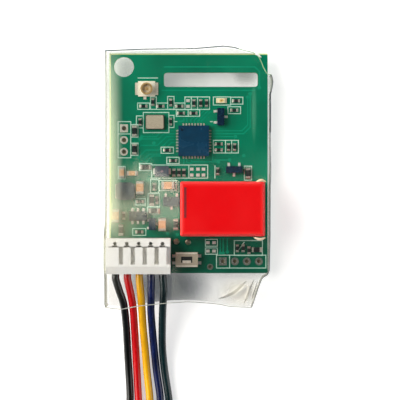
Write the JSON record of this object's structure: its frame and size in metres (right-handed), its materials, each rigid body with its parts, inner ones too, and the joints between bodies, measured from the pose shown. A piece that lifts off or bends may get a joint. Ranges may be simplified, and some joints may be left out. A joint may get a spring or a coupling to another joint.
{
  "type": "smart relay module",
  "caption": "Small control board with a signal relay, radio chip, antenna socket and push button in a clear shrink-film sleeve, with a plugged set of coloured leads",
  "frame": {"origin": "bottom centre of the sleeve, which lies flat on its back", "axes": "X across the board, Y along it away from the leads, Z out of the component side"},
  "size_m": [0.0282, 0.0871, 0.0108],
  "materials": {
    "green_board": "solder mask over glass epoxy",
    "solder": "bright tin solder",
    "clear_film": "clear shrink film",
    "red_cover": "moulded, satin gloss",
    "black_moulding": "moulded",
    "tin_plate": "tin plated",
    "ivory_moulding": "moulded",
    "copper_wire": "enamelled copper winding",
    "soft_iron": "nickel plated iron",
    "contact_bronze": "bronze spring strip",
    "white_nylon": "moulded",
    "pvc_black": "extruded soft jacket",
    "pvc_red": "extruded soft jacket",
    "pvc_yellow": "extruded soft jacket",
    "pvc_blue": "extruded soft jacket",
    "pvc_green": "extruded soft jacket",
    "nickel_sheet": "stamped",
    "spring_steel": "stamped",
    "chip_mould": "moulded epoxy",
    "ceramic": "fired",
    "quartz": "polished",
    "gold_plate": "gold plated",
    "lamp_resin": "cast resin",
    "ferrite": "coated ferrite",
    "capacitor_ceramic": "fired",
    "resistor_film": "coated",
    "diode_mould": "moulded epoxy"
  },
  "bodies": {
    "module": {"circuit_board": "green_board", "solder_joints": "solder", "hole_pads": "solder", "heat_shrink_sleeve": "clear_film", "relay_cover": "red_cover", "relay_base": "black_moulding", "relay_terminals": "tin_plate", "relay_bobbin": "ivory_moulding", "relay_coil": "copper_wire", "relay_core": "soft_iron", "relay_fixed_contacts": "contact_bronze", "header_shroud": "white_nylon", "header_pins": "tin_plate", "switch_base": "black_moulding", "switch_frame": "nickel_sheet", "switch_dome": "spring_steel", "switch_terminals": "tin_plate", "mcu_body": "chip_mould", "mcu_leads": "tin_plate", "crystal_base": "ceramic", "crystal_lid": "nickel_sheet", "quartz_blank": "quartz", "antenna_socket_body": "ivory_moulding", "antenna_socket_shell": "gold_plate", "antenna_socket_pin": "gold_plate", "led_body": "ivory_moulding", "led_lens": "lamp_resin", "power_inductor": "ferrite", "inductor_ends": "tin_plate", "transistor_bodies": "chip_mould", "transistor_leads": "tin_plate", "diode_body": "diode_mould", "diode_ends": "tin_plate", "capacitor_bodies": "capacitor_ceramic", "capacitor_ends": "tin_plate", "resistor_bodies": "resistor_film", "resistor_ends": "tin_plate"},
    "armature": {"relay_armature": "soft_iron", "relay_card": "ivory_moulding", "relay_contact_springs": "contact_bronze"},
    "button": {"switch_button": "black_moulding"},
    "plug": {"plug_housing": "white_nylon", "plug_contacts": "tin_plate", "lead_black": "pvc_black", "lead_red": "pvc_red", "lead_yellow": "pvc_yellow", "lead_blue": "pvc_blue", "lead_green": "pvc_green", "lead_black_hank": "pvc_black", "lead_red_hank": "pvc_red", "lead_yellow_hank": "pvc_yellow", "lead_blue_hank": "pvc_blue", "lead_green_hank": "pvc_green", "lead_tips": "tin_plate", "lead_tie": "white_nylon"}
  },
  "joints": [
    {"name": "relay_rock", "type": "hinge", "parent": "module", "child": "armature", "pos_m": [0.0059, -0.00542, 0.0065], "axis": [0, 1, 0], "range_deg": [0, 4], "stiffness_Nm_per_rad": 0.0001},
    {"name": "switch_press", "type": "slide", "parent": "module", "child": "button", "axis": [0, 0, -1], "range_m": [0, 0.00016], "stiffness_N_per_m": 6000, "deforming": ["switch_dome"]},
    {"name": "plug_pull", "type": "slide", "parent": "module", "child": "plug", "axis": [0, -1, 0], "range_m": [0, 0.005]}
  ]
}
